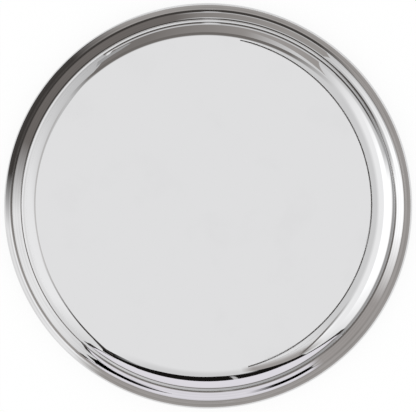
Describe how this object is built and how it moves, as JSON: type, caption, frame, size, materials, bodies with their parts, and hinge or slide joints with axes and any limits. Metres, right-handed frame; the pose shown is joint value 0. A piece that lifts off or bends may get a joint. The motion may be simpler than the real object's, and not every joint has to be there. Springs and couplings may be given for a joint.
{
  "type": "thali plate",
  "caption": "Round shallow dinner plate pressed from steel sheet: flat mirror-bright floor, S-shaped wall and a hollow rolled rim.",
  "frame": {"origin": "middle of the flat underside, on the plate's axis", "axes": "+Z up along the axis, towards the food side; +X to the right and +Y up in the picture"},
  "size_m": [0.28, 0.28, 0.0117],
  "materials": {
    "polished_steel": "mirror-polished stainless steel sheet"
  },
  "bodies": {
    "root": {"pressed_plate": "polished_steel"}
  },
  "joints": []
}
